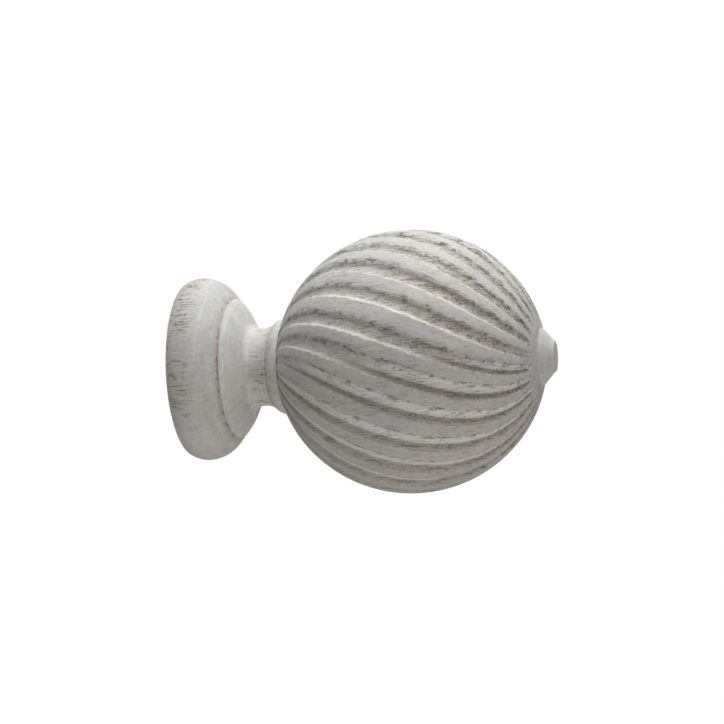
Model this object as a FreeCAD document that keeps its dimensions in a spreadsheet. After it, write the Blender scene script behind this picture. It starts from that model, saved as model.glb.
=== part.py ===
# Curtain pole finial in limed wood: a turned collar and neck, a slightly long ball carved with
# spiral flutes, and a small tip button, all one piece.
#
# Frame: the finial's axis is +X, from the flat back face to the tip, and +Z is up.
# The origin is the centre of the flat back face, which sits against the end of the pole.
# Lengths are millimetres and angles are degrees.
import FreeCAD, Part
import Sketcher
import math
import os

from FreeCAD import Placement, Rotation, Vector

os.makedirs("parts", exist_ok=True)

doc = FreeCAD.newDocument("curtain_pole_finial")
sheet = doc.addObject("Spreadsheet::Sheet", "sizes")

SIZES = [
    # Collar: a flat back face and a full, rounded side
    ("rim_radius", 20.1),
    ("rim_edge_bevel", 0.3),
    ("collar_radius", 21.1),
    ("belly_position", 3.4),
    ("collar_length", 10.3),
    ("collar_end_radius", 16.75),
    # Narrow groove between the collar and the ovolo
    ("groove_width", 0.85),
    ("groove_bottom_radius", 15.75),
    # Ovolo that falls from the groove to the neck
    ("ovolo_length", 3.55),
    ("ovolo_radius", 16.1),
    ("ovolo_curve", 16.0),
    # Hollow neck, fine ring line, and bead under the ball
    ("neck_length", 5.3),
    ("neck_end_radius", 9.6),
    ("neck_curve", 5.65),
    ("ring_line_width", 0.25),
    ("ring_line_depth", 0.18),
    ("bead_length", 2.85),
    ("bead_start_radius", 9.75),
    ("bead_end_radius", 10.98),
    ("bead_curve", 2.95),
    # Ball, a little longer than it is wide
    ("ball_start_radius", 10.9),
    ("ball_radius", 30.0),
    ("ball_length_gain", 0.95),
    # Tip button: a short cone with a flat end
    ("tip_base_radius", 6.35),
    ("tip_end_radius", 3.3),
    ("tip_length", 2.6),
    ("tip_cove_round", 0.8),
    ("tip_edge_bevel", 0.3),
    # Spiral flutes
    ("flute_count", 24),
    ("flute_share", 0.57),
    ("flute_depth", 1.1),
    ("flute_skew", 0.3),
    ("flute_thinning", 1.6),
    ("flute_start_angle", 12.5),
    ("flute_twist", 22.6),
    ("flute_twist_gain", 4.4),
    ("flute_fade_radius", 12.5),
    ("flute_end_radius", 9.3),
    ("flute_inset", 0.1),
    # Pilot hole for the dowel screw
    ("pilot_radius", 2.5),
    ("pilot_depth", 26.0),
    ("drill_point_angle", 118.0),
]

for row, (alias, number) in enumerate(SIZES, start=1):
    sheet.set(f"A{row}", alias)
    sheet.set(f"B{row}", str(number))
    sheet.setAlias(f"B{row}", alias)
doc.recompute()


def value(expression):
    """The number that an expression of the sheet's cells gives."""
    return float(sheet.evalExpression(expression))


def size(alias):
    """A driving dimension, as a plain number."""
    return value(f"sizes.{alias}")


# Stations along the axis, as expressions of the sheet's cells
COLLAR_END = "sizes.collar_length"
GROOVE_BOTTOM = f"{COLLAR_END} + sizes.groove_width / 2"
GROOVE_END = f"{COLLAR_END} + sizes.groove_width"
OVOLO_END = f"{GROOVE_END} + sizes.ovolo_length"
NECK_END = f"{OVOLO_END} + sizes.neck_length"
RING_BOTTOM = f"{NECK_END} + sizes.ring_line_width / 2"
BEAD_START = f"{NECK_END} + sizes.ring_line_width"
BEAD_END = f"{BEAD_START} + sizes.bead_length"


def ball_reach(radius):
    """Distance along the axis from the ball's middle to where its surface has this radius."""
    return f"{BALL_HALF_LENGTH} * sqrt(1 - ({radius} / sizes.ball_radius)^2)"


BALL_HALF_LENGTH = "(sizes.ball_radius + sizes.ball_length_gain)"
BALL_CENTRE = f"{BEAD_END} + {ball_reach('sizes.ball_start_radius')}"
TIP_BASE = f"{BALL_CENTRE} + {ball_reach('sizes.tip_base_radius')}"
TIP_END = f"{TIP_BASE} + sizes.tip_length"
CAP_START = f"{BALL_CENTRE} + {ball_reach('sizes.flute_end_radius')}"
# The fluted skin runs straight from ring to ring, in flat facets: this many rings, and this
# many gouge cuts across each flute, which follow an arc of twice this sweep that is deepest a
# little below the flute's middle. Its strips are sewn within a small gap.
RINGS = 16
CUTS = 4
FLUTE_HALF_SWEEP = 55.0
SEWING_TOLERANCE = 0.0001


class Profile:
    """A closed half section in a sketch: X is the axis and Y the radius.

    Corners are given from the back to the tip, each as expressions of its station and its
    radius. An arc's start vertex is number 1, its end 2 and its centre 3.
    """

    def __init__(self, body, name):
        self.sketch = body.newObject("Sketcher::SketchObject", name)
        plane = next(item for item in body.Origin.OriginFeatures if item.Role == "XZ_Plane")
        self.sketch.AttachmentSupport = [(plane, "")]
        self.sketch.MapMode = "FlatFace"
        self.pieces = []

    def bind(self, kind, references, expression):
        """Add a dimension and bind it to the sheet."""
        constraint = Sketcher.Constraint(kind, *references, value(expression))
        index = self.sketch.addConstraint(constraint)
        self.sketch.setExpression(f"Constraints[{index}]", expression)

    def station_of(self, geometry, vertex, expression):
        if value(expression) == 0:
            self.sketch.addConstraint(Sketcher.Constraint("PointOnObject", geometry, vertex, -2))
        else:
            self.bind("DistanceX", (-1, 1, geometry, vertex), expression)

    def radius_of(self, geometry, vertex, expression):
        if value(expression) == 0:
            self.sketch.addConstraint(Sketcher.Constraint("PointOnObject", geometry, vertex, -1))
        else:
            self.bind("DistanceY", (-1, 1, geometry, vertex), expression)

    def begin(self, station, radius):
        self.first = self.here = Vector(value(station), value(radius), 0)

    def join(self, geometry, entry, leave):
        """Tie a piece's entry vertex to the vertex where the last piece ends."""
        if self.pieces:
            last = self.pieces[-1]
            self.sketch.addConstraint(
                Sketcher.Constraint("Coincident", last[0], last[2], geometry, entry))
        self.pieces.append((geometry, entry, leave))

    def line(self, station, radius):
        """A straight line to the next corner."""
        corner = Vector(value(station), value(radius), 0)
        geometry = self.sketch.addGeometry(Part.LineSegment(self.here, corner))
        self.join(geometry, 1, 2)
        self.station_of(geometry, 2, station)
        self.radius_of(geometry, 2, radius)
        self.here = corner

    def arc(self, station, radius, centre, hollow=False):
        """An arc to the next corner about a centre that is a plain point."""
        corner = Vector(value(station), value(radius), 0)
        circle = Part.Circle(centre, Vector(0, 0, 1), (corner - centre).Length)
        first, last = (self.here, corner) if hollow else (corner, self.here)
        arc = Part.ArcOfCircle(circle, circle.parameter(first), circle.parameter(last))
        geometry = self.sketch.addGeometry(arc)
        entry, leave = (1, 2) if hollow else (2, 1)
        self.join(geometry, entry, leave)
        self.station_of(geometry, leave, station)
        self.radius_of(geometry, leave, radius)
        self.here = corner
        return geometry

    def curve(self, station, radius, curve, hollow=False):
        """An arc to the next corner with a set radius of its own."""
        corner = Vector(value(station), value(radius), 0)
        chord = corner - self.here
        middle = self.here + chord * 0.5
        across = Vector(-chord.y, chord.x, 0).normalize()
        reach = math.sqrt(value(curve) ** 2 - (chord.Length / 2) ** 2)
        centre = middle + across * (reach if hollow else -reach)
        geometry = self.arc(station, radius, centre, hollow)
        self.bind("Radius", (geometry,), curve)

    def swell(self, station, radius, centre_station):
        """An arc to the next corner whose centre has a set station."""
        corner = Vector(value(station), value(radius), 0)
        centre_x = value(centre_station)
        squares = (corner.x - centre_x) ** 2 + corner.y ** 2
        squares -= (self.here.x - centre_x) ** 2 + self.here.y ** 2
        centre = Vector(centre_x, squares / (2 * (corner.y - self.here.y)), 0)
        geometry = self.arc(station, radius, centre)
        self.station_of(geometry, 3, centre_station)

    def close(self):
        """A straight line back to the first corner."""
        geometry = self.sketch.addGeometry(Part.LineSegment(self.here, self.first))
        self.join(geometry, 1, 2)
        first = self.pieces[0]
        self.sketch.addConstraint(Sketcher.Constraint("Coincident", geometry, 2, first[0], first[1]))


def turn(body, sketch, name):
    """Turn a half section once about the finial's axis."""
    feature = body.newObject("PartDesign::Revolution", name)
    feature.Profile = sketch
    feature.ReferenceAxis = (sketch, ["H_Axis"])
    feature.Angle = 360
    sketch.Visibility = False
    doc.recompute()
    return feature


def ease_circle(body, feature, kind, name, station, radius, alias):
    """Round or bevel the circular edge that a turned feature has at this station and radius."""
    edges = []
    for number, edge in enumerate(feature.Shape.Edges, start=1):
        if edge.Degenerated or not isinstance(edge.Curve, Part.Circle):
            continue
        off_station = abs(edge.Curve.Center.x - value(station))
        off_radius = abs(edge.Curve.Radius - value(radius))
        if off_station < 0.001 and off_radius < 0.001:
            edges.append(f"Edge{number}")
    if len(edges) != 1:
        raise RuntimeError(f"{name}: {len(edges)} edges found")
    eased = body.newObject(f"PartDesign::{kind}", name)
    eased.Base = (feature, edges)
    eased.setExpression("Radius" if kind == "Fillet" else "Size", f"sizes.{alias}")
    doc.recompute()
    return eased


def make_collar():
    """Collar, groove, ovolo, neck, ring line and bead, turned in one section."""
    body = doc.addObject("PartDesign::Body", "collar_turning")
    profile = Profile(body, "collar_section")
    profile.begin("0", "0")
    profile.line("0", "sizes.rim_radius")
    profile.radius_of(0, 1, "0")
    profile.station_of(0, 1, "0")
    profile.swell("sizes.belly_position", "sizes.collar_radius", "sizes.belly_position")
    profile.swell(COLLAR_END, "sizes.collar_end_radius", "sizes.belly_position")
    profile.line(GROOVE_BOTTOM, "sizes.groove_bottom_radius")
    profile.line(GROOVE_END, "sizes.ovolo_radius")
    profile.curve(OVOLO_END, "sizes.neck_end_radius", "sizes.ovolo_curve")
    profile.curve(NECK_END, "sizes.neck_end_radius", "sizes.neck_curve", hollow=True)
    profile.line(RING_BOTTOM, "sizes.neck_end_radius - sizes.ring_line_depth")
    profile.line(BEAD_START, "sizes.bead_start_radius")
    profile.curve(BEAD_END, "sizes.bead_end_radius", "sizes.bead_curve")
    profile.line(BEAD_END, "0")
    profile.close()
    turned = turn(body, profile.sketch, "collar_turned")
    ease_circle(body, turned, "Chamfer", "rim_edge", "0", "sizes.rim_radius", "rim_edge_bevel")
    return body


def make_tip():
    """The ball's smooth end cap and the tip button, turned in one section."""
    body = doc.addObject("PartDesign::Body", "tip_turning")
    profile = Profile(body, "tip_section")
    sketch = profile.sketch
    centre = Vector(value(BALL_CENTRE), 0, 0)
    ball_radius = size("ball_radius")
    end_of_length = centre + Vector(value(BALL_HALF_LENGTH), 0, 0)
    end_of_width = centre + Vector(0, ball_radius, 0)
    tip_angle = math.asin(size("tip_base_radius") / ball_radius)
    cap_angle = math.asin(size("flute_end_radius") / ball_radius)
    ellipse = Part.Ellipse(end_of_length, end_of_width, centre)
    profile.begin(CAP_START, "0")
    profile.line(CAP_START, "sizes.flute_end_radius")
    profile.station_of(0, 1, CAP_START)
    profile.radius_of(0, 1, "0")
    oval = sketch.addGeometry(Part.ArcOfEllipse(ellipse, tip_angle, cap_angle))
    sketch.exposeInternalGeometry(oval)
    long_axis, short_axis = oval + 1, oval + 2
    sketch.addConstraint(Sketcher.Constraint("Horizontal", long_axis))
    profile.bind("Distance", (long_axis,), f"2 * {BALL_HALF_LENGTH}")
    profile.bind("Distance", (short_axis,), "2 * sizes.ball_radius")
    profile.station_of(oval, 3, BALL_CENTRE)
    profile.join(oval, 2, 1)
    profile.radius_of(oval, 1, "sizes.tip_base_radius")
    profile.here = Vector(value(TIP_BASE), size("tip_base_radius"), 0)
    profile.line(TIP_END, "sizes.tip_end_radius")
    profile.line(TIP_END, "0")
    profile.close()
    turned = turn(body, sketch, "tip_turned")
    cove = ease_circle(body, turned, "Fillet", "tip_cove", TIP_BASE, "sizes.tip_base_radius",
                       "tip_cove_round")
    ease_circle(body, cove, "Chamfer", "tip_edge", TIP_END, "sizes.tip_end_radius",
                "tip_edge_bevel")
    return body


def flute_turn(slope):
    """How far the first flute's middle has turned about the axis, from the -Y side upward.

    The slope is the ellipse's own angle: 0 at the ball's middle and 90 at the tip.
    The flutes turn nearly evenly along the axis and quicken a little to both ends.
    """
    share = math.sin(math.radians(slope))
    turned = size("flute_twist") * share + size("flute_twist_gain") * share ** 3
    return size("flute_start_angle") - turned


def flute_fade(slope):
    """The share of their depth that the flutes keep: they run out toward the tip."""
    if slope < 0:
        return 1.0
    ring_radius = size("ball_radius") * math.cos(math.radians(slope))
    run_out = size("flute_fade_radius") - size("flute_end_radius")
    return min(1.0, max(0.0, (ring_radius - size("flute_end_radius")) / run_out))


def flute_drop(slope):
    """How deep the flutes are below the ball's surface, measured toward the axis."""
    ring_radius = size("ball_radius") * math.cos(math.radians(slope))
    steepness = math.atan2(math.sin(math.radians(slope)) / value(BALL_HALF_LENGTH),
                           math.cos(math.radians(slope)) / size("ball_radius"))
    depth = size("flute_depth") * (ring_radius / size("ball_radius")) ** size("flute_thinning")
    return depth * flute_fade(slope) / math.cos(steepness)


def flute_and_land(slope):
    """One hollow flute and the land beside it, in a plane across the axis."""
    station = value(BALL_CENTRE) + value(BALL_HALF_LENGTH) * math.sin(math.radians(slope))
    ring_radius = (size("ball_radius") - size("flute_inset")) * math.cos(math.radians(slope))
    pitch = 360 / size("flute_count")
    flute_angle = size("flute_share") * pitch
    drop = flute_drop(slope)
    corners = []
    for number in range(CUTS + 1):
        across = 2 * number / CUTS - 1
        sweep = math.radians(FLUTE_HALF_SWEEP)
        turned = math.sin(across * sweep) / math.sin(sweep)
        skewed = across + size("flute_skew") * (1 - across ** 2)
        sunk = (math.cos(skewed * sweep) - math.cos(sweep)) / (1 - math.cos(sweep))
        angle = math.radians(flute_turn(slope) + turned * flute_angle / 2)
        radius = ring_radius - drop * sunk
        corners.append(Vector(station, -radius * math.cos(angle), radius * math.sin(angle)))
    next_flute = math.radians(flute_turn(slope) - flute_angle / 2 + pitch)
    corners.append(Vector(station, -ring_radius * math.cos(next_flute),
                          ring_radius * math.sin(next_flute)))
    return Part.makePolygon(corners)


def repeat_round_axis(shape):
    """Copies of a shape, one for each flute."""
    copies = []
    for number in range(int(size("flute_count"))):
        turned = shape.copy()
        turned.rotate(Vector(0, 0, 0), Vector(1, 0, 0), 360 * number / size("flute_count"))
        copies.append(turned)
    return copies


def make_fluted_ball():
    """The carved ball: one skin of a flute and a land, repeated round the axis and capped.

    It starts at the flat end of the bead and ends where the flutes run out.
    """
    first_slope = -math.degrees(math.acos(size("ball_start_radius") / size("ball_radius")))
    last_slope = math.degrees(math.acos(size("flute_end_radius") / size("ball_radius")))
    stride = (last_slope - first_slope) / (RINGS - 1)
    sections = [flute_and_land(first_slope + stride * number) for number in range(RINGS)]
    skin = Part.makeLoft(sections, False, True)
    faces = [face for copy in repeat_round_axis(skin) for face in copy.Faces]
    for section in (sections[0], sections[-1]):
        edges = [edge for copy in repeat_round_axis(section) for edge in copy.Edges]
        faces.append(Part.Face(Part.Wire(Part.sortEdges(edges)[0])))
    shell = Part.makeShell(faces)
    shell.sewShape(SEWING_TOLERANCE)
    ball = doc.addObject("Part::Feature", "fluted_ball")
    ball.Shape = Part.makeSolid(shell)
    ball.Placement = Placement()
    return ball


def make_pilot_hole():
    """The drilled hole's own shape: a round bore that ends in a drill point."""
    entry = 1.0
    along_axis = Rotation(Vector(0, 1, 0), 90)
    bore = doc.addObject("Part::Cylinder", "pilot_bore")
    bore.setExpression("Radius", "sizes.pilot_radius")
    bore.setExpression("Height", f"sizes.pilot_depth + {entry}")
    bore.Placement = Placement(Vector(-entry, 0, 0), along_axis)
    point = doc.addObject("Part::Cone", "pilot_point")
    point.setExpression("Radius1", "sizes.pilot_radius")
    point.Radius2 = 0
    point.setExpression("Height", "sizes.pilot_radius / tan(sizes.drill_point_angle / 2)")
    point.Placement = Placement(Vector(size("pilot_depth"), 0, 0), along_axis)
    point.setExpression("Placement.Base.x", "sizes.pilot_depth")
    hole = doc.addObject("Part::Fuse", "pilot_hole")
    hole.Base = bore
    hole.Tool = point
    return hole


def combine(kind, name, base, tool):
    """Cut one shape with another, or join the two."""
    result = doc.addObject(kind, name)
    result.Base = base
    result.Tool = tool
    doc.recompute()
    return result


collar = make_collar()
ball = make_fluted_ball()
ball_and_tip = combine("Part::Fuse", "ball_and_tip", ball, make_tip())
joined = combine("Part::Fuse", "joined_blank", ball_and_tip, collar)
finial = combine("Part::Cut", "finial", joined, make_pilot_hole())
finial.Label = "finial"
finial.Placement = Placement()
doc.recompute()

for item in doc.Objects:
    if "Invalid" in item.State or "Error" in item.State:
        raise RuntimeError(f"{item.Label} failed: {item.State}")

for node in (finial,):
    if node.Shape.isNull() or not node.Shape.isValid() or len(node.Shape.Solids) != 1:
        raise RuntimeError(f"{node.Label} is not one valid solid")
    node.Shape.exportStep(f"parts/{node.Label}.step")
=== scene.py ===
"""Curtain pole finial in limed wood, dressed on the CAD frame.

The finial's axis is +X from its flat back face to its tip, and +Z is up. Lengths are metres
and angles are degrees. One high-resolution mesh stands for the CAD solid.
"""
import math

import bpy
import numpy as np
from mathutils import Matrix, Vector


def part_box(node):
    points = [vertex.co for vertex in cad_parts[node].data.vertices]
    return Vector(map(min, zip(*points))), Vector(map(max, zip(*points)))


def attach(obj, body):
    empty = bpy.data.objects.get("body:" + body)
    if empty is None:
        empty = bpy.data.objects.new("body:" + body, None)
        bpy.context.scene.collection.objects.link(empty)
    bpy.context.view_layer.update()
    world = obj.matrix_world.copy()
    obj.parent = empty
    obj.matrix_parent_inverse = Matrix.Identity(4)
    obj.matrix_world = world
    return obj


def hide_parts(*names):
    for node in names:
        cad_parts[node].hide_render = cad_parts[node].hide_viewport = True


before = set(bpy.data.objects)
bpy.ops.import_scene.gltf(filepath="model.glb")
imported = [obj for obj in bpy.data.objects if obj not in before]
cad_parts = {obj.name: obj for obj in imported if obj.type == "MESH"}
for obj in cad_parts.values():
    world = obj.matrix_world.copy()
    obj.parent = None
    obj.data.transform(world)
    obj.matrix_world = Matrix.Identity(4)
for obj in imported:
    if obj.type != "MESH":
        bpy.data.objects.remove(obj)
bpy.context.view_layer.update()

MM = 0.001
CAD_LOW, CAD_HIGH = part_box("finial")

# Turned sizes, from the back face to the tip
RIM_RADIUS = 20.05 * MM
RIM_ROUND = 0.35 * MM
COLLAR_RADIUS = 21.0 * MM
BELLY = 3.4 * MM
COLLAR_END = 10.3 * MM
COLLAR_END_RADIUS = 16.7 * MM
GROOVE_BOTTOM = 10.72 * MM
GROOVE_BOTTOM_RADIUS = 15.7 * MM
OVOLO_START = 11.15 * MM
OVOLO_RADIUS = 16.05 * MM
OVOLO_CURVE = 16.0 * MM
NECK_START = 14.7 * MM
NECK_END = 20.0 * MM
NECK_RADIUS = 9.55 * MM
NECK_CURVE = 5.65 * MM
RING_LINE = 20.12 * MM
RING_LINE_RADIUS = 9.38 * MM
BEAD_START = 20.25 * MM
BEAD_START_RADIUS = 9.7 * MM
BEAD_CURVE = 2.95 * MM
BEAD_LIP = 0.08 * MM
BALL_START = 23.1 * MM
BALL_START_RADIUS = 10.86 * MM
# The ball stays just inside the CAD solid's own box.
INSIDE = 0.03 * MM
BALL_RADIUS = (CAD_HIGH.z - CAD_LOW.z) / 2 - INSIDE
BALL_HALF_LENGTH = BALL_RADIUS + 0.95 * MM
BALL_CENTRE = BALL_START + BALL_HALF_LENGTH * math.sqrt(1 - (BALL_START_RADIUS / BALL_RADIUS) ** 2)
TIP_COVE = 0.8 * MM
TIP_COVE_CURVE = 1.3 * TIP_COVE
TIP_COVE_LENGTH = 0.62 * MM
TIP_BASE_RADIUS = 6.3 * MM
TIP_CONE_RADIUS = 6.08 * MM
TIP_END = CAD_HIGH.x - INSIDE
TIP_ROUND = 0.4 * MM
TIP_ROUND_CURVE = 0.55 * MM
TIP_ROUND_RADIUS = 3.6 * MM
TIP_FACE_RADIUS = 3.05 * MM
PILOT_RADIUS = 2.5 * MM
PILOT_DEPTH = 26.0 * MM
PILOT_POINT = 1.5 * MM

# Spiral flutes
FLUTES = 24
PITCH = 360 / FLUTES
FLUTE_SHARE = 0.57
FLUTE_DEPTH = 1.1 * MM
FLUTE_THINNING = 1.6
FLUTE_START_ANGLE = 12.5
FLUTE_TWIST = 22.6
FLUTE_TWIST_GAIN = 4.4
FLUTE_FADE_RADIUS = 12.5 * MM
FLUTE_END_RADIUS = 9.3 * MM
FLUTE_HALF_SWEEP = math.radians(55)
FLUTE_SKEW = 0.15
# The share of its width that a flute keeps where it runs out
RUN_OUT_WIDTH = 0.3

# How far the carver's hand strayed, flute by flute
WANDER_ANGLE = 0.28
WANDER_DEPTH = 0.10
WANDER_WIDTH = 0.06
# How ragged the arrises are, in degrees
UPPER_RAG = 0.07
LOWER_RAG = 0.025
# How much the upper shoulder is softened and the wood torn, as shares of the flute's depth
SHOULDER = 0.14
TEAR_DEPTH = 0.03
# The share of the tearing that the lower part of a flute has
CALM_SHARE = 0.3
# How far the arrises are worn down
LOWER_WEAR = 0.03 * MM
UPPER_WEAR = 0.07 * MM
# Nicks where the ball meets the tip: station, angle up from the front, reach, depth
NICKS = (
    (81.3 * MM, 88, 0.9 * MM, 0.30 * MM),
    (81.6 * MM, -72, 0.8 * MM, 0.35 * MM),
)
SEED = 11

# Where the mesh has columns: across a flute from its lower arris at -1 to its upper one at 1,
# and as shares of the land above it
FLUTE_COLUMNS = (-1.0, -0.91, -0.7, -0.44, -0.16, 0.12, 0.36, 0.56, 0.72, 0.86, 0.95, 1.0)
LAND_COLUMNS = (0.07, 0.36, 0.66, 0.93)
# Rings along the ball, along the stretch where the flutes run out, and beyond it
BALL_RINGS = 128
RUN_OUT_RINGS = 18
CAP_RINGS = 7
WELD_DISTANCE = 0.002 * MM
SHARP_ANGLE = 50

# Parts of a flute's section, as (none, full) places across it
SOFT_SHOULDER = (0.4, 1.0)
UPPER_SHOULDER = (0.2, 0.7)
LOWER_WALL = (-0.5, -0.8)
# Above which place it is torn, and where its dark stain and painted shade are darkest and how far they reach
TORN_FROM = 0.3
STAIN_AND_SHADE_MIDDLE = -0.60
STAIN_AND_SHADE_REACH = 0.36
# How quickly the stain, painted shade and painted highlights in a flute, and the wear and painted highlight
# on its arrises, fade where it runs out
HOLLOW_HOLD = 1.4
ARRIS_LEFT = 0.35

# Camera, set where the photograph was taken from
LENS = 107.5
SENSOR = 36.0
NEAREST = 0.01
CAMERA_YAW = 13.6
CAMERA_ROLL = 2.16
CAMERA_DISTANCE = 489.0 * MM
BALL_RIGHT_OF_CENTRE = 11.1 * MM
BALL_ABOVE_CENTRE = 0.1 * MM

# Studio light: the glow from each side, how near to that side's direction it begins and is
# full, and the lamp overhead with its energy in watts
FROM_TABLE = (0.87, 0.828, 0.790, 1)
FROM_ROOM = (0.135, 0.135, 0.139, 1)
FROM_BEHIND = (0.36, 0.354, 0.346, 1)
FROM_TIP_SIDE = (0.31, 0.308, 0.305, 1)
TABLE_DIRECTION = (0.26, -0.57, -0.78)
TABLE_SPREAD = (0.36, 0.86)
BEHIND_SPREAD = (0.1, 0.8)
TIP_SIDE_SPREAD = (0.1, 0.95)
LAMP_ENERGY = 5.15
LAMP_HEIGHT = 0.6
LAMP_FORWARD = 0.04
LAMP_TIPWARD = 0.05
LAMP_SIZE = 0.5
FLOOR_GAP = 12 * MM
FLOOR_SIZE = 6.0
WHITE = (1, 1, 1, 1)

# Paint and wood, as linear colours. SHADE is laid as painted shade, and LIME_WHITE and CREAM serve as painted
# highlights as well as paint.
LIME_WARM = (0.572, 0.572, 0.540, 1)
LIME_COOL = (0.526, 0.530, 0.527, 1)
LIME_WHITE = (0.78, 0.79, 0.742, 1)
LIME_BLUE = (0.43, 0.45, 0.475, 1)
LIME_FLUTE = (0.68, 0.68, 0.655, 1)
CREAM = (0.84, 0.79, 0.67, 1)
TAN = (0.40, 0.27, 0.15, 1)
TAN_DARK = (0.25, 0.17, 0.095, 1)
OCHRE = (0.33, 0.205, 0.10, 1)
OLIVE = (0.262, 0.215, 0.132, 1)
OLIVE_DARK = (0.225, 0.158, 0.070, 1)
SHADE = (0.20, 0.187, 0.172, 1)
GRAIN_BROWN = (0.36, 0.31, 0.25, 1)
PORE_DARK = (0.080, 0.054, 0.031, 1)
PAINT_ROUGHNESS = 0.8
PAINT_SHEEN = 0.25
BUMP_STRENGTH = 0.9
BUMP_DEPTH = 0.38 * MM

# Noise: cycles per metre, detail and roughness. The cycles are along X, Y and Z, or along the
# axis and round it.
MOTTLE = ((900, 1500, 1500), 5, 0.7)
BRUSH_LINES = ((1300, 70, 70), 4, 0.6)
RAYS = ((60, 620), 3, 0.5)
SPECKLE = ((2000, 2900, 2900), 4, 0.7)
FIBRES = ((380, 1900), 5, 0.65)
BREAKS = ((620, 1000, 1000), 4, 0.65)
# Spots: noise in the same terms, then the values of it where they begin and where they are full
CLOUDS = ((70, 120, 120), 5, 0.55, 0.36, 0.64)
BRUSHED_AREAS = ((120, 160, 160), 3, 0.55, 0.38, 0.62)
BLUE_PATCHES = ((300, 380, 380), 2, 0.55, 0.55, 0.68)
SOFT_GRAIN = ((110, 600, 2600), 4, 0.62, 0.54, 0.72)
STROKES = ((260, 800, 3300), 3, 0.6, 0.55, 0.61)
STROKE_GROUPS = ((210, 420, 420), 3, 0.55, 0.38, 0.56)
STAINS = ((360, 520, 520), 3, 0.6, 0.60, 0.72)
OCHRE_SPECKS = ((1300, 1500, 1500), 3, 0.6, 0.60, 0.68)
TORN_PATCHES = ((190, 460, 460), 4, 0.6, 0.40, 0.60)
FINE_SPECKS = ((1500, 1900, 1900), 2, 0.55, 0.66, 0.72)
LIFTED_FIBRES = ((330, 820, 820), 4, 0.65, 0.52, 0.62)
LONG_BREAKS = ((190, 260, 260), 3, 0.55, 0.44, 0.60)
# The grain that runs along the axis and round it has its own fineness at this radius.
GRAIN_RADIUS = 20 * MM

# Where paint lies along the axis, as (none, full) stations
TIPWARD = (36.0 * MM, 78.0 * MM)
PALE_OVOLO = (10.0 * MM, 11.5 * MM)
BLUE_TIP = (78.0 * MM, 80.5 * MM)
OFF_BACK_FACE = (0.1 * MM, 0.5 * MM)
BACK_BAND = (7.0 * MM, 3.0 * MM)
STAINED_BAND = (9.0 * MM, 3.0 * MM)
NECK_FROM = (15.0 * MM, 17.5 * MM)
NECK_UP_TO = (22.8 * MM, 20.8 * MM)
SPECK_RING_FROM = (3.0 * MM, 4.2 * MM)
SPECK_RING_UP_TO = (6.2 * MM, 5.0 * MM)
# Where it lies by height, as (none, full) heights above the axis
LOW_SIDE = (3.5 * MM, -2.0 * MM)
DARKEST_CUTS = (-14.0 * MM, -4.0 * MM)
BAND_STROKES = (-13.0 * MM, 0.0)
# BAND_BROWNING sets how the back band's brown tint grows toward its top
BAND_BROWNING = (-12.0 * MM, 4.0 * MM)
# BRIGHTEST_EDGES sets where the painted highlight on the arrises is strong
BRIGHTEST_EDGES = (-15.0 * MM, -6.0 * MM)
# UNDERSIDE is where painted shade darkens the underside
UNDERSIDE = (-12.5 * MM, -28.5 * MM)
# Where it lies beside a turned line, as (none, full) distances, and how far the lips are off
COLLAR_LIP_RUB_AND_HIGHLIGHT = (0.6 * MM, 0.2 * MM)
OVOLO_LIP_RUB = (0.7 * MM, 0.2 * MM)
GROOVE_WAX = (0.5 * MM, 0.1 * MM)
JOINT_WAX = (0.4 * MM, 0.1 * MM)
LIP_OFFSET = 0.5 * MM
# Where it lies in a flute, as (none, full) values of the marks that the skin carries
IN_FLUTE = (0.02, 0.45)
TORN_FLOOR = (0.05, 0.55)
DEEP_FLOOR = (0.35, 1.0)
BARE_SHOULDER = (0.05, 0.6)
SHADED_SHOULDER = (0.0, 0.5)
OFF_SHOULDER = (1.3, 0.2)
OFF_DEEPEST = (0.62, 0.22)
CREAM_ARRIS = (-0.20, -0.85)
TAN_ARRIS = (-0.10, -0.55)
WHITE_ARRIS = (0.20, 0.80)
TORN_ARRIS = (0.10, 0.60)
# Which values of the noise a paint takes, as (none, full)
OCHRE_STROKES = (0.36, 0.60)
OCHRE_PORES = (0.38, 0.54)
BROWN_MOTTLE = (0.50, 0.70)
WHITE_MOTTLE = (0.46, 0.30)
WHITE_BRUSH = (0.52, 0.70)
BLUE_BRUSH = (0.47, 0.33)
BLUE_RAYS = (0.50, 0.62)
WHITE_RAYS = (0.46, 0.36)
PORE_SPECKS = (0.59, 0.65)
BARE_SPECKS = (0.44, 0.54)
OLIVE_SPECKS = (0.49, 0.60)
CREAM_SPECKS = (0.44, 0.36)
TAN_BREAKS = (0.38, 0.57)
TORN_BREAKS = (0.36, 0.56)
GROOVE_BREAKS = (0.46, 0.60)
JOINT_BREAKS = (0.42, 0.58)


def arc(start, end, curve, count, hollow=False):
    """Points (x, radius) along an arc of a given radius, without its first point."""
    (x0, r0), (x1, r1) = start, end
    half = math.hypot(x1 - x0, r1 - r0) / 2
    reach = math.sqrt(curve ** 2 - half ** 2)
    side = 1 if hollow else -1
    centre_x = (x0 + x1) / 2 - side * (r1 - r0) / (2 * half) * reach
    centre_r = (r0 + r1) / 2 + side * (x1 - x0) / (2 * half) * reach
    first = math.atan2(r0 - centre_r, x0 - centre_x)
    last = math.atan2(r1 - centre_r, x1 - centre_x)
    turn = (last - first + math.pi) % (2 * math.pi) - math.pi
    points = []
    for number in range(1, count + 1):
        angle = first + turn * number / count
        points.append((centre_x + curve * math.cos(angle), centre_r + curve * math.sin(angle)))
    return points


def bend(start, corner, end, count):
    """Points of a soft bend drawn toward a corner, without its first point."""
    points = []
    for number in range(1, count + 1):
        share = number / count
        pulls = ((1 - share) ** 2, 2 * share * (1 - share), share ** 2)
        x = pulls[0] * start[0] + pulls[1] * corner[0] + pulls[2] * end[0]
        radius = pulls[0] * start[1] + pulls[1] * corner[1] + pulls[2] * end[1]
        points.append((x, radius))
    return points


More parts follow.
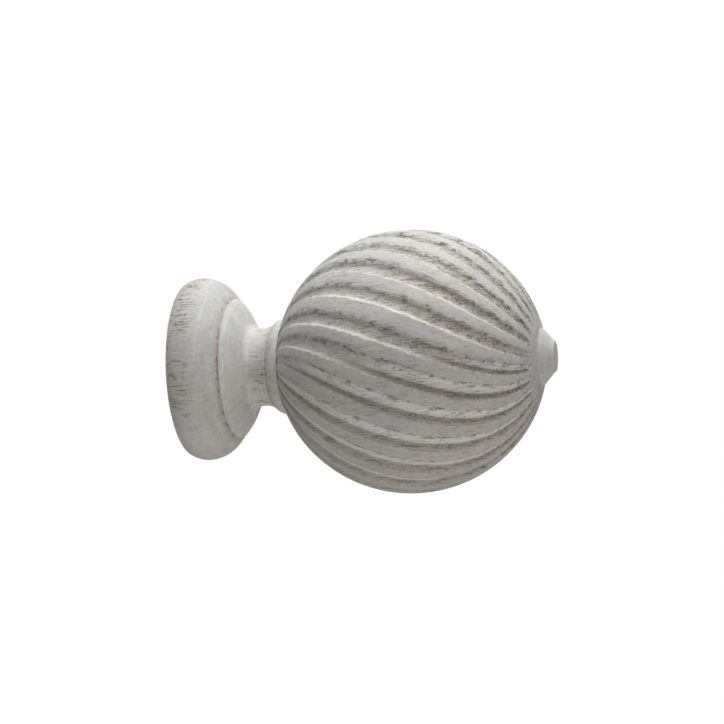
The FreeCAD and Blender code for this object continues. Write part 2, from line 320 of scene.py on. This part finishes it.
def swell(start, end, centre_x, count):
    """Points along an arc whose centre has a set x, without its first point."""
    (x0, r0), (x1, r1) = start, end
    squares = (x1 - centre_x) ** 2 + r1 ** 2 - (x0 - centre_x) ** 2 - r0 ** 2
    centre_r = squares / (2 * (r1 - r0))
    return arc(start, end, math.hypot(x1 - centre_x, r1 - centre_r), count)


def straight(start, end, count):
    """Points along a straight line, without its first point."""
    shares = [number / count for number in range(1, count + 1)]
    return [(start[0] + (end[0] - start[0]) * s, start[1] + (end[1] - start[1]) * s) for s in shares]


def ball_point(slope):
    """A point of the ball's outline: the slope runs from -90 at the neck to 90 at the tip."""
    angle = math.radians(slope)
    return BALL_CENTRE + BALL_HALF_LENGTH * math.sin(angle), BALL_RADIUS * math.cos(angle)


def slope_at(ring_radius):
    """The slope on the tip's side where the ball's ring has a given radius."""
    return math.degrees(math.acos(ring_radius / BALL_RADIUS))


def back_outline():
    """The pilot hole, the flat back face and its rounded rim."""
    corner = (PILOT_DEPTH, PILOT_RADIUS)
    mouth = (0.0, PILOT_RADIUS)
    edge = (0.0, RIM_RADIUS - RIM_ROUND)
    rim = (RIM_ROUND, RIM_RADIUS)
    points = [(PILOT_DEPTH + PILOT_POINT, 0.0), corner]
    points += straight(corner, mouth, 3)
    points += straight(mouth, edge, 5)
    return points + arc(edge, rim, RIM_ROUND, 3)


def collar_outline():
    """The collar, its groove, the ovolo, the hollow neck and the bead, from the rim on."""
    rim = (RIM_ROUND, RIM_RADIUS)
    belly = (BELLY, COLLAR_RADIUS)
    collar_end = (COLLAR_END, COLLAR_END_RADIUS)
    groove = (GROOVE_BOTTOM, GROOVE_BOTTOM_RADIUS)
    ovolo = (OVOLO_START, OVOLO_RADIUS)
    neck = (NECK_START, NECK_RADIUS)
    neck_end = (NECK_END, NECK_RADIUS)
    ring_line = (RING_LINE, RING_LINE_RADIUS)
    bead = (BEAD_START, BEAD_START_RADIUS)
    points = swell(rim, belly, BELLY, 8)
    points += swell(belly, collar_end, BELLY, 14)
    points += straight(collar_end, groove, 3)
    points += straight(groove, ovolo, 2)
    # A soft bend takes the place of the corner between the ovolo and the neck.
    ovolo_points = arc(ovolo, neck, OVOLO_CURVE, 10)[:-2]
    neck_points = arc(neck, neck_end, NECK_CURVE, 12, hollow=True)[2:]
    points += ovolo_points + bend(ovolo_points[-1], neck, neck_points[0], 6) + neck_points[1:]
    points += straight(neck_end, ring_line, 2)
    points += straight(ring_line, bead, 2)
    return points + arc(bead, (BALL_START, BALL_START_RADIUS + BEAD_LIP), BEAD_CURVE, 9)


def ball_slopes():
    """Slopes of the ball's rings, closer together where the flutes run out."""
    fade = slope_at(FLUTE_FADE_RADIUS)
    end = slope_at(FLUTE_END_RADIUS)
    cap = slope_at(TIP_BASE_RADIUS + TIP_COVE)
    return np.concatenate([np.linspace(-slope_at(BALL_START_RADIUS), fade, BALL_RINGS, endpoint=False),
                           np.linspace(fade, end, RUN_OUT_RINGS, endpoint=False),
                           np.linspace(end, cap, CAP_RINGS)])


def tip_outline():
    """The tip button: a small cove, a short cone and its flat end."""
    start = ball_point(slope_at(TIP_BASE_RADIUS + TIP_COVE))
    cone_start = (start[0] + TIP_COVE_LENGTH, TIP_CONE_RADIUS)
    cone_end = (TIP_END - TIP_ROUND, TIP_ROUND_RADIUS)
    face_edge = (TIP_END, TIP_FACE_RADIUS)
    points = arc(start, cone_start, TIP_COVE_CURVE, 5, hollow=True)
    points += straight(cone_start, cone_end, 9)
    points += arc(cone_end, face_edge, TIP_ROUND_CURVE, 4)
    return points + straight(face_edge, (TIP_END, 0.0), 3)


def flute_turn(slope):
    """How far a flute's middle has turned about the axis at a slope of the ball."""
    share = np.sin(np.radians(slope))
    return FLUTE_START_ANGLE - FLUTE_TWIST * share - FLUTE_TWIST_GAIN * share ** 3


def flute_fade(slope):
    """The share of their depth that the flutes keep: they run out toward the tip."""
    if slope < 0:
        return 1.0
    ring_radius = BALL_RADIUS * math.cos(math.radians(slope))
    share = (ring_radius - FLUTE_END_RADIUS) / (FLUTE_FADE_RADIUS - FLUTE_END_RADIUS)
    return min(1.0, max(0.0, share))


def flute_drop(slope):
    """How deep the flutes are at a slope of the ball, measured toward the axis."""
    ring_radius = BALL_RADIUS * math.cos(math.radians(slope))
    steepness = math.atan2(math.sin(math.radians(slope)) / BALL_HALF_LENGTH,
                           math.cos(math.radians(slope)) / BALL_RADIUS)
    depth = FLUTE_DEPTH * (ring_radius / BALL_RADIUS) ** FLUTE_THINNING
    return depth * flute_fade(slope) / math.cos(steepness)


def rise(values, none, full):
    """0 at one value, 1 at another that may be smaller, and straight between."""
    return np.clip((values - none) / (full - none), 0, 1)


def flute_section(across):
    """How far the gouge sinks across a flute: deepest below the middle, soft at the top."""
    sweep = FLUTE_HALF_SWEEP
    skewed = across + FLUTE_SKEW * (1 - across ** 2)
    sunk = (np.cos(skewed * sweep) - math.cos(sweep)) / (1 - math.cos(sweep))
    return sunk - SHOULDER * np.sin(math.pi * rise(across, *SOFT_SHOULDER)) ** 2


def wander(chance, count, harmonics, reach):
    """Slow random curves over the ball's rings, one for each flute."""
    along = np.linspace(0, math.pi, count)[:, None]
    curves = np.zeros((count, FLUTES))
    for harmonic in range(1, harmonics + 1):
        phase = chance.uniform(0, 2 * math.pi, FLUTES)
        curves += chance.normal(size=FLUTES) / harmonic * np.sin(harmonic * along + phase)
    return curves * reach


def ragged(chance, shape, run):
    """Random values that keep their trend over a few rings."""
    values = chance.normal(size=(shape[0] + run, shape[1]))
    return sum(values[start:start + shape[0]] for start in range(run)) / math.sqrt(run)


def nick_depths(outline, turned):
    """How deep the nicks are at each point of the skin."""
    depths = np.zeros(turned.shape)
    for station, nick_angle, reach, nick_depth in NICKS:
        off = (turned - math.radians(nick_angle) + math.pi) % (2 * math.pi) - math.pi
        away = ((outline[:, 0:1] - station) / reach) ** 2 + (off * outline[:, 1:2] / reach) ** 2
        depths += nick_depth * np.exp(-away)
    return depths


def skin_marks(across, is_cut, sunk, kept, on_ball):
    """What each point of the skin lies on. A flute's marks fade with the share of its depth that
    it keeps, and its arris mark is below 0 on the lower arris and above 0 on the upper one."""
    arris = is_cut * ((across == 1) * 1.0 - (across == -1) * 1.0)
    in_cut = is_cut * kept
    return {
        "hollow": np.clip(sunk, 0, 1) * np.clip(kept * HOLLOW_HOLD, 0, 1),
        "arris": arris * (ARRIS_LEFT + (1 - ARRIS_LEFT) * kept) * (kept > 0),
        "ball": on_ball[:, None] * np.ones(sunk.shape),
        "lower_wall": rise(across, *LOWER_WALL) * in_cut,
        "deep": np.exp(-((across - STAIN_AND_SHADE_MIDDLE) / STAIN_AND_SHADE_REACH) ** 2) * in_cut,
        "shoulder": rise(across, *UPPER_SHOULDER) * in_cut,
    }


def mesh_columns():
    """For each column of the mesh: its flute, its place across the flute, and how far up the land."""
    flute = np.repeat(np.arange(FLUTES), len(FLUTE_COLUMNS) + len(LAND_COLUMNS))
    across = np.tile(FLUTE_COLUMNS + (0.0,) * len(LAND_COLUMNS), FLUTES)
    up_land = np.tile((0.0,) * len(FLUTE_COLUMNS) + LAND_COLUMNS, FLUTES)
    return flute, across, up_land


def ring_faces(shape):
    """Four-sided faces that join each ring of points to the next one, all the way round."""
    numbers = np.arange(shape[0] * shape[1]).reshape(shape)
    beside = np.roll(numbers, -1, axis=1)
    return np.stack([numbers[:-1], beside[:-1], beside[1:], numbers[1:]], axis=-1).reshape(-1, 4)


def finial_mesh():
    """Rings of points joined into one closed surface, with what each point lies on."""
    chance = np.random.default_rng(SEED)
    slopes = ball_slopes()
    before_ball = back_outline() + collar_outline()
    outline = np.array(before_ball + [ball_point(slope) for slope in slopes] + tip_outline())
    ring_count = len(outline)
    on_ball = np.zeros(ring_count, dtype=bool)
    on_ball[len(before_ball):len(before_ball) + len(slopes)] = True
    nearest = np.clip(np.arange(ring_count) - len(before_ball), 0, len(slopes) - 1)
    drop = np.zeros((ring_count, 1))
    drop[on_ball, 0] = [flute_drop(slope) for slope in slopes]
    fluted = (drop > 0).astype(float)

    # Columns: each flute from its lower arris to its upper one, then the land above it
    flute, across, up_land = mesh_columns()
    is_cut = up_land == 0
    lower_arris = is_cut & (across == -1)
    upper_arris = is_cut & (across == 1)
    shape = (ring_count, len(flute))

    # How far round the axis each point is
    turn = flute_turn(slopes)[:, None] + PITCH * np.arange(FLUTES)
    middle = (turn + wander(chance, len(slopes), harmonics=5, reach=WANDER_ANGLE))[nearest]
    width = 1 + wander(chance, len(slopes), harmonics=6, reach=WANDER_WIDTH)[nearest]
    depth = 1 + wander(chance, len(slopes), harmonics=6, reach=WANDER_DEPTH)[nearest]
    fade = np.array([flute_fade(slope) for slope in slopes])[nearest][:, None]
    narrowing = RUN_OUT_WIDTH + (1 - RUN_OUT_WIDTH) * np.sqrt(fade)
    half = width * narrowing * FLUTE_SHARE * PITCH / 2
    next_lower = np.roll(middle - half, -1, axis=1)
    next_lower[:, -1] += 360
    land_start = (middle + half)[:, flute]
    land_width = next_lower[:, flute] - land_start
    swept = np.sin(across * FLUTE_HALF_SWEEP) / math.sin(FLUTE_HALF_SWEEP)
    angle = np.where(is_cut, middle[:, flute] + half[:, flute] * swept, land_start + land_width * up_land)
    angle += fluted * upper_arris * ragged(chance, shape, run=3) * UPPER_RAG
    angle += fluted * lower_arris * ragged(chance, shape, run=4) * LOWER_RAG
    turned = np.radians(angle)

    # How far from the axis each point is
    sunk = np.where(is_cut, flute_section(across), 0.0) * np.ones(shape)
    torn = np.where(is_cut & (across > TORN_FROM), 1.0, CALM_SHARE) * is_cut
    cut_depth = drop * depth[:, flute]
    radius = outline[:, 1:2] - cut_depth * (sunk + torn * ragged(chance, shape, run=2) * TEAR_DEPTH)
    radius -= fluted * (lower_arris * LOWER_WEAR + upper_arris * UPPER_WEAR)
    radius -= nick_depths(outline, turned)

    points = np.stack([outline[:, 0:1] * np.ones(shape), -radius * np.cos(turned),
                       radius * np.sin(turned)], axis=-1).reshape(-1, 3)
    mesh = bpy.data.meshes.new("finial_skin")
    mesh.from_pydata(points.tolist(), [], ring_faces(shape).tolist())
    for name, values in skin_marks(across, is_cut, sunk, fade * fluted, on_ball).items():
        mesh.attributes.new(name, "FLOAT", "POINT").data.foreach_set("value", values.ravel())
    return mesh


def build_finial():
    """The finial's skin as one object that stands for the CAD solid."""
    skin = bpy.data.objects.new("finial_skin", finial_mesh())
    bpy.context.scene.collection.objects.link(skin)
    weld = skin.modifiers.new("weld", "WELD")
    weld.merge_threshold = WELD_DISTANCE
    bpy.context.view_layer.objects.active = skin
    skin.select_set(True)
    bpy.ops.object.modifier_apply(modifier="weld")
    bpy.ops.object.mode_set(mode="EDIT")
    bpy.ops.mesh.select_all(action="SELECT")
    bpy.ops.mesh.normals_make_consistent(inside=False)
    bpy.ops.object.mode_set(mode="OBJECT")
    skin.data.shade_smooth()
    skin.data.set_sharp_from_angle(angle=math.radians(SHARP_ANGLE))
    skin.select_set(False)
    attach(skin, "root")
    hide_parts("finial")
    return skin


class Nodes:
    """Short ways to make and join the nodes of a material or of the world."""

    def __init__(self, owner):
        owner.use_nodes = True
        self.tree = owner.node_tree
        self.tree.nodes.clear()

    def add(self, kind, **settings):
        node = self.tree.nodes.new(kind)
        for name, setting in settings.items():
            setattr(node, name, setting)
        return node

    def link(self, source, target):
        self.tree.links.new(source, target)

    def feed(self, socket, value):
        """Join a socket to another one, or give it a constant."""
        if isinstance(value, bpy.types.NodeSocket):
            self.link(value, socket)
        else:
            socket.default_value = value

    def math(self, operation, first, second=0.0, clamp=False):
        node = self.add("ShaderNodeMath", operation=operation, use_clamp=clamp)
        self.feed(node.inputs[0], first)
        self.feed(node.inputs[1], second)
        return node.outputs[0]

    def both(self, *shares):
        """The product of several shares."""
        product = shares[0]
        for share in shares[1:]:
            product = self.math("MULTIPLY", product, share)
        return product

    def total(self, *values):
        """The sum of several values."""
        result = values[0]
        for value in values[1:]:
            result = self.math("ADD", result, value)
        return result

    def rest_of(self, share):
        """What a share leaves of 1."""
        return self.math("SUBTRACT", 1.0, share)

    def ramp(self, share, low, high):
        """A value that goes from low to high as a share goes from 0 to 1."""
        return self.total(self.both(share, high - low), low)

    def distance(self, value, place):
        return self.math("ABSOLUTE", self.math("SUBTRACT", value, place))

    def window(self, value, none, full):
        """0 at one value, 1 at another that may be smaller, and smooth between."""
        node = self.add("ShaderNodeMapRange", interpolation_type="SMOOTHSTEP")
        self.feed(node.inputs["Value"], value)
        node.inputs["From Min"].default_value = min(none, full)
        node.inputs["From Max"].default_value = max(none, full)
        node.inputs["To Min"].default_value = 0.0 if none < full else 1.0
        node.inputs["To Max"].default_value = 1.0 if none < full else 0.0
        return node.outputs["Result"]

    def mix(self, share, first, second):
        """Two colours mixed: the second has the share. Sockets 6 and 7 take the colours."""
        node = self.add("ShaderNodeMix", data_type="RGBA")
        self.feed(node.inputs[0], share)
        self.feed(node.inputs[6], first)
        self.feed(node.inputs[7], second)
        return node.outputs[2]

    def attribute(self, name):
        return self.add("ShaderNodeAttribute", attribute_name=name).outputs["Fac"]

    def vector(self, operation, first, second=(0, 0, 0)):
        node = self.add("ShaderNodeVectorMath", operation=operation)
        self.feed(node.inputs[0], first)
        self.feed(node.inputs[1], second)
        return node.outputs["Value" if operation == "DOT_PRODUCT" else "Vector"]

    def split(self, vector):
        """A vector's X, Y and Z."""
        node = self.add("ShaderNodeSeparateXYZ")
        self.link(vector, node.inputs[0])
        return node.outputs

    def position(self, stretch=(1, 1, 1)):
        """The object's own coordinates, scaled along X, Y and Z."""
        coordinates = self.add("ShaderNodeTexCoord").outputs["Object"]
        mapping = self.add("ShaderNodeMapping")
        self.link(coordinates, mapping.inputs["Vector"])
        mapping.inputs["Scale"].default_value = stretch
        return mapping.outputs["Vector"]

    def lengthwise(self, along, around):
        """Coordinates that run along the axis and round it, whatever the radius."""
        flat = self.vector("NORMALIZE", self.position((0, 1, 1)))
        ring = self.vector("MULTIPLY", flat, (0, around * GRAIN_RADIUS, around * GRAIN_RADIUS))
        return self.vector("ADD", ring, self.position((along, 0, 0)))

    def noise(self, cycles, detail, roughness):
        """Noise along X, Y and Z, or with two numbers of cycles along the axis and round it."""
        vector = self.lengthwise(*cycles) if len(cycles) == 2 else self.position(cycles)
        node = self.add("ShaderNodeTexNoise")
        self.link(vector, node.inputs["Vector"])
        node.inputs["Scale"].default_value = 1.0
        node.inputs["Detail"].default_value = detail
        node.inputs["Roughness"].default_value = roughness
        return node.outputs["Fac"]

    def spots(self, cycles, detail, roughness, none, full):
        """Noise cut to spots: none below one value of it and full from another."""
        return self.window(self.noise(cycles, detail, roughness), none, full)


class LimedWood(Nodes):
    """Matt limewash over brown wood. Each method lays its paints over those before it."""

    def __init__(self, material):
        super().__init__(material)
        place = self.split(self.position())
        self.along = place["X"]
        self.height = place["Z"]
        self.hollow = self.attribute("hollow")
        self.arris = self.attribute("arris")
        self.shoulder = self.attribute("shoulder")
        self.deep = self.attribute("deep")
        self.lower_wall = self.attribute("lower_wall")
        self.on_ball = self.attribute("ball")
        self.turned = self.rest_of(self.on_ball)
        self.tipward = self.window(self.along, *TIPWARD)
        self.low_side = self.window(self.height, *LOW_SIDE)
        self.high_side = self.rest_of(self.low_side)
        self.in_flute = self.window(self.hollow, *IN_FLUTE)
        self.off_back_face = self.window(self.along, *OFF_BACK_FACE)
        self.band = self.window(self.along, *BACK_BAND)
        self.neck = self.both(self.window(self.along, *NECK_FROM), self.window(self.along, *NECK_UP_TO))
        self.mottle = self.noise(*MOTTLE)
        self.brush = self.noise(*BRUSH_LINES)
        self.speckle = self.noise(*SPECKLE)
        self.breaks = self.noise(*BREAKS)
        self.long_breaks = self.spots(*LONG_BREAKS)
        self.groups = self.spots(*STROKE_GROUPS)
        self.stroke_colour = self.mix(self.window(self.mottle, *OCHRE_STROKES), TAN_DARK, OCHRE)
        self.strokes = self.stroke_places()
        self.torn = self.torn_places()
        self.pores = self.both(self.window(self.speckle, *PORE_SPECKS), self.torn)
        self.bare = self.both(self.window(self.shoulder, *BARE_SHOULDER),
                              self.spots(*LIFTED_FIBRES),
                              self.window(self.speckle, *BARE_SPECKS))
        self.colour = self.mix(self.spots(*CLOUDS), LIME_WARM, LIME_COOL)

    def lay(self, paint, *shares):
        """Lay a paint over the colour so far, as strongly as the product of some shares."""
        self.colour = self.mix(self.both(*shares), self.colour, paint)

    def stroke_places(self):
        """Brown strokes of grain: most on the collar's back band, fewer on the neck and ball."""
        in_cut = self.both(self.in_flute, self.ramp(self.tipward, 0.20, 0.54))
        on_ball = self.both(self.on_ball, self.total(in_cut, 0.24))
        up_band = self.ramp(self.window(self.height, *BAND_STROKES), 0.15, 1.0)
        places = self.total(self.both(self.band, up_band), self.both(self.neck, 0.50), on_ball)
        return self.both(self.spots(*STROKES), self.groups, places, self.off_back_face)

    def torn_places(self):
        """Torn flute floors. They lie under each flute's upper edge on the top half of the ball,
        and over its lower edge on the bottom half."""
        torn = self.both(self.spots(*TORN_PATCHES), self.ramp(self.tipward, 0.14, 1.0))
        torn = self.math("ADD", torn, self.both(self.tipward, 0.35), clamp=True)
        floor = self.both(self.window(self.hollow, *TORN_FLOOR), self.window(self.shoulder, *OFF_SHOULDER))
        off_lower_wall = self.both(self.high_side, self.rest_of(self.lower_wall))
        return self.both(torn, floor, self.total(self.both(self.low_side, self.deep), off_lower_wall))

    def limewash(self):
        """Grey on what was turned, a little creamier where the gouge went, and mottled."""
        self.lay(LIME_FLUTE, self.in_flute, 0.85)
        self.lay(CREAM, self.in_flute, self.tipward, 0.25)
        self.lay(GRAIN_BROWN, self.window(self.mottle, *BROWN_MOTTLE), 0.35)
        self.lay(LIME_WHITE, self.window(self.mottle, *WHITE_MOTTLE), 0.30)
        self.lay(LIME_WHITE, self.turned, self.window(self.along, *PALE_OVOLO), 0.20)
        self.lay(LIME_BLUE, self.window(self.along, *BLUE_TIP), 0.40)

    def brush_lines(self):
        """Brush lines round the turned collar, thin bluish patches, and rays along the grain."""
        brushed = self.both(self.turned, self.spots(*BRUSHED_AREAS))
        self.lay(LIME_WHITE, self.window(self.brush, *WHITE_BRUSH), brushed, 0.40)
        self.lay(LIME_BLUE, self.window(self.brush, *BLUE_BRUSH), brushed, 0.30)
        self.lay(LIME_BLUE, self.spots(*BLUE_PATCHES), self.total(self.turned, 0.35), 0.30)
        rays = self.noise(*RAYS)
        self.lay(LIME_BLUE, self.window(rays, *BLUE_RAYS), self.turned, self.off_back_face, 0.11)
        self.lay(LIME_WHITE, self.window(rays, *WHITE_RAYS), self.turned, self.off_back_face, 0.08)

    def grain(self):
        """Soft grain all over, a brown tint on the back band that grows toward its top and on the neck, and
        the brown strokes.
        """
        self.lay(GRAIN_BROWN, self.spots(*SOFT_GRAIN), 0.36)
        up_band = self.ramp(self.window(self.height, *BAND_BROWNING), 0.05, 0.17)
        self.lay(GRAIN_BROWN, self.band, up_band)
        self.lay(GRAIN_BROWN, self.neck, 0.17)
        self.lay(self.stroke_colour, self.strokes, 0.80)

    def collar_stains(self):
        """Stains on the back band, and a ring of ochre specks where the collar is widest."""
        self.lay(TAN_DARK, self.spots(*STAINS), self.window(self.along, *STAINED_BAND), 0.45)
        speck_ring = self.both(self.window(self.along, *SPECK_RING_FROM),
                               self.window(self.along, *SPECK_RING_UP_TO))
        self.lay(OCHRE, self.spots(*OCHRE_SPECKS), self.groups, speck_ring, 0.75)

    def flute_floors(self):
        """Olive-brown speckle that thickens toward the tip, a dark stain low in the flutes with painted shade
        there on the lower half, painted shade under the upper edges on the top half, and painted highlights
        on the walls that face the light.
        """
        self.lay(OLIVE, self.window(self.hollow, *DEEP_FLOOR), self.ramp(self.tipward, 0.03, 0.23))
        self.lay(OLIVE, self.torn, 0.22)
        # Dark stain low in every flute, with painted shade added there on the lower half, strongest near the
        # middle height
        near_middle = self.ramp(self.window(self.height, *DARKEST_CUTS), 0.34, 0.62)
        self.lay(SHADE, self.deep, self.total(self.both(self.low_side, near_middle), 0.06))
        # Painted shade under each flute's upper edge on the top half of the ball
        under_edge = self.both(self.window(self.shoulder, *SHADED_SHOULDER), self.in_flute, self.high_side)
        self.lay(SHADE, under_edge, self.ramp(self.tipward, 0.24, 0.32))
        # Painted highlights: the lower walls on the top half, and the upper walls on the bottom half
        self.lay(LIME_WHITE, self.lower_wall, self.high_side, 0.50)
        self.lay(LIME_WHITE, self.in_flute, self.window(self.deep, *OFF_DEEPEST), self.low_side, 0.85)
        self.lay(OLIVE_DARK, self.window(self.speckle, *OLIVE_SPECKS), self.torn, 0.54)
        self.lay(CREAM, self.window(self.speckle, *CREAM_SPECKS), self.torn, 0.35)
        pore_colour = self.mix(self.window(self.mottle, *OCHRE_PORES), PORE_DARK, OCHRE)
        self.lay(pore_colour, self.pores, 0.85)

    def wear(self):
        """Fine specks, a little painted shade on the underside, and bare wood between lifted fibres."""
        self.lay(TAN_DARK, self.spots(*FINE_SPECKS), self.on_ball, 0.60)
        # Painted shade on the underside
        self.lay(SHADE, self.window(self.height, *UNDERSIDE), 0.20)
        self.lay(TAN_DARK, self.bare, self.ramp(self.tipward, 0.30, 0.62))

    def arrises(self):
        """The lower arris of each flute is rubbed to cream, with a painted highlight that is weaker low on
        the ball, and the upper one is torn and brown.
        """
        # Painted highlight: the cream on the lower arrises is strong from a little below the middle upward
        # and weaker low on the ball
        brightness = self.ramp(self.window(self.height, *BRIGHTEST_EDGES), 0.28, 0.78)
        self.lay(CREAM, self.window(self.arris, *CREAM_ARRIS), brightness)
        self.lay(TAN, self.window(self.arris, *TAN_ARRIS), self.window(self.breaks, *TAN_BREAKS), 0.74)
        self.lay(LIME_WHITE, self.window(self.arris, *WHITE_ARRIS), 0.30)
        torn_edge = self.both(self.window(self.arris, *TORN_ARRIS), self.window(self.breaks, *TORN_BREAKS))
        self.lay(self.stroke_colour, torn_edge, self.long_breaks, 0.70)

    def grooves(self):
        """Turned lines: their lips are rubbed white, the collar's lip partly as a painted highlight, and the
        grooves hold brown wax.
        """
        from_collar_lip = self.distance(self.along, COLLAR_END - LIP_OFFSET)
        from_ovolo_lip = self.distance(self.along, OVOLO_START + LIP_OFFSET)
        from_groove = self.distance(self.along, GROOVE_BOTTOM)
        from_joint = self.distance(self.along, BALL_START)
        # The collar's lip: rubbed white, and partly a painted highlight on its lit end edge
        self.lay(LIME_WHITE, self.window(from_collar_lip, *COLLAR_LIP_RUB_AND_HIGHLIGHT), self.long_breaks, 0.30)
        self.lay(LIME_WHITE, self.window(from_ovolo_lip, *OVOLO_LIP_RUB), self.long_breaks, 0.40)
        self.lay(OCHRE, self.window(from_groove, *GROOVE_WAX), self.window(self.breaks, *GROOVE_BREAKS), 0.60)
        self.lay(TAN, self.window(from_joint, *JOINT_WAX), self.window(self.breaks, *JOINT_BREAKS), 0.50)

    def relief(self):
        """Torn fibres and brush lines stand out, and strokes, pores and bare wood lie lower."""
        roughness = self.total(self.both(self.torn, 0.8), self.both(self.in_flute, 0.8), 0.14)
        height = self.total(self.both(self.noise(*FIBRES), roughness),
                            self.both(self.brush, self.turned, 0.25),
                            self.both(self.strokes, -0.8),
                            self.both(self.pores, -0.7),
                            self.both(self.bare, -0.8))
        bump = self.add("ShaderNodeBump")
        bump.inputs["Strength"].default_value = BUMP_STRENGTH
        bump.inputs["Distance"].default_value = BUMP_DEPTH
        self.link(height, bump.inputs["Height"])
        return bump.outputs["Normal"]

    def finish(self):
        """Join the colour and the relief to the material's output."""
        shader = self.add("ShaderNodeBsdfPrincipled")
        self.link(self.colour, shader.inputs["Base Color"])
        shader.inputs["Roughness"].default_value = PAINT_ROUGHNESS
        shader.inputs["Specular IOR Level"].default_value = PAINT_SHEEN
        self.link(self.relief(), shader.inputs["Normal"])
        output = self.add("ShaderNodeOutputMaterial")
        self.link(shader.outputs[0], output.inputs["Surface"])


def limed_wood():
    """The finial's material."""
    material = bpy.data.materials.new("limed_wood")
    wood = LimedWood(material)
    wood.limewash()
    wood.brush_lines()
    wood.grain()
    wood.collar_stains()
    wood.flute_floors()
    wood.wear()
    wood.arrises()
    wood.grooves()
    wood.finish()
    return material


def build_floor():
    """A plain pale floor a little below the ball."""
    lowest = CAD_LOW.z - FLOOR_GAP
    bpy.ops.mesh.primitive_plane_add(size=FLOOR_SIZE, location=(BALL_CENTRE, 0, lowest))
    floor = bpy.context.object
    floor.name = "floor"
    material = bpy.data.materials.new("pale_floor")
    nodes = Nodes(material)
    paint = nodes.add("ShaderNodeEmission")
    paint.inputs["Color"].default_value = WHITE
    paint.inputs["Strength"].default_value = 1.0
    output = nodes.add("ShaderNodeOutputMaterial")
    nodes.link(paint.outputs[0], output.inputs["Surface"])
    floor.data.materials.append(material)
    floor.visible_diffuse = False
    floor.visible_glossy = False
    floor.visible_shadow = False


def build_world():
    """A grey studio with light thrown back by the table in front, the tip's side and the rear."""
    world = bpy.data.worlds.new("studio")
    bpy.context.scene.world = world
    nodes = Nodes(world)
    direction = nodes.add("ShaderNodeTexCoord").outputs["Generated"]
    sides = nodes.split(direction)
    tipward = nodes.window(sides["X"], *TIP_SIDE_SPREAD)
    behind = nodes.window(sides["Y"], *BEHIND_SPREAD)
    table = nodes.window(nodes.vector("DOT_PRODUCT", direction, TABLE_DIRECTION), *TABLE_SPREAD)
    glow = nodes.mix(tipward, FROM_ROOM, FROM_TIP_SIDE)
    glow = nodes.mix(behind, glow, FROM_BEHIND)
    glow = nodes.mix(table, glow, FROM_TABLE)
    light = nodes.add("ShaderNodeBackground")
    nodes.link(glow, light.inputs["Color"])
    light.inputs["Strength"].default_value = 1.0
    # The camera itself sees a white backdrop.
    backdrop = nodes.add("ShaderNodeBackground")
    backdrop.inputs["Color"].default_value = WHITE
    backdrop.inputs["Strength"].default_value = 1.0
    path = nodes.add("ShaderNodeLightPath")
    chosen = nodes.add("ShaderNodeMixShader")
    nodes.link(path.outputs["Is Camera Ray"], chosen.inputs[0])
    nodes.link(light.outputs[0], chosen.inputs[1])
    nodes.link(backdrop.outputs[0], chosen.inputs[2])
    output = nodes.add("ShaderNodeOutputWorld")
    nodes.link(chosen.outputs[0], output.inputs["Surface"])


def build_lights():
    """One broad lamp overhead."""
    data = bpy.data.lights.new("overhead", "AREA")
    data.shape = "SQUARE"
    data.size = LAMP_SIZE
    data.energy = LAMP_ENERGY
    lamp = bpy.data.objects.new("overhead", data)
    lamp.location = (BALL_CENTRE + LAMP_TIPWARD, -LAMP_FORWARD, LAMP_HEIGHT)
    target = Vector((BALL_CENTRE, 0, 0))
    lamp.rotation_euler = (target - lamp.location).to_track_quat("-Z", "Y").to_euler()
    bpy.context.scene.collection.objects.link(lamp)


def build_camera():
    """The photograph's view: nearly side on, the tip a little nearer and higher."""
    yaw = math.radians(CAMERA_YAW)
    roll = math.radians(CAMERA_ROLL)
    level = Vector((math.cos(yaw), math.sin(yaw), 0))
    back = Vector((math.sin(yaw), -math.cos(yaw), 0))
    upright = Vector((0, 0, 1))
    right = level * math.cos(roll) - upright * math.sin(roll)
    up = level * math.sin(roll) + upright * math.cos(roll)
    data = bpy.data.cameras.new("camera")
    data.lens = LENS
    data.sensor_width = SENSOR
    data.clip_start = NEAREST
    camera = bpy.data.objects.new("camera", data)
    centre = Vector((BALL_CENTRE, 0, 0))
    place = centre - right * BALL_RIGHT_OF_CENTRE - up * BALL_ABOVE_CENTRE + back * CAMERA_DISTANCE
    rotation = Matrix((right, up, back)).transposed().to_4x4()
    camera.matrix_world = Matrix.Translation(place) @ rotation
    bpy.context.scene.collection.objects.link(camera)
    bpy.context.scene.camera = camera


finial = build_finial()
finial.data.materials.append(limed_wood())
build_floor()
build_world()
build_lights()
build_camera()
bpy.context.scene.view_settings.view_transform = "Standard"
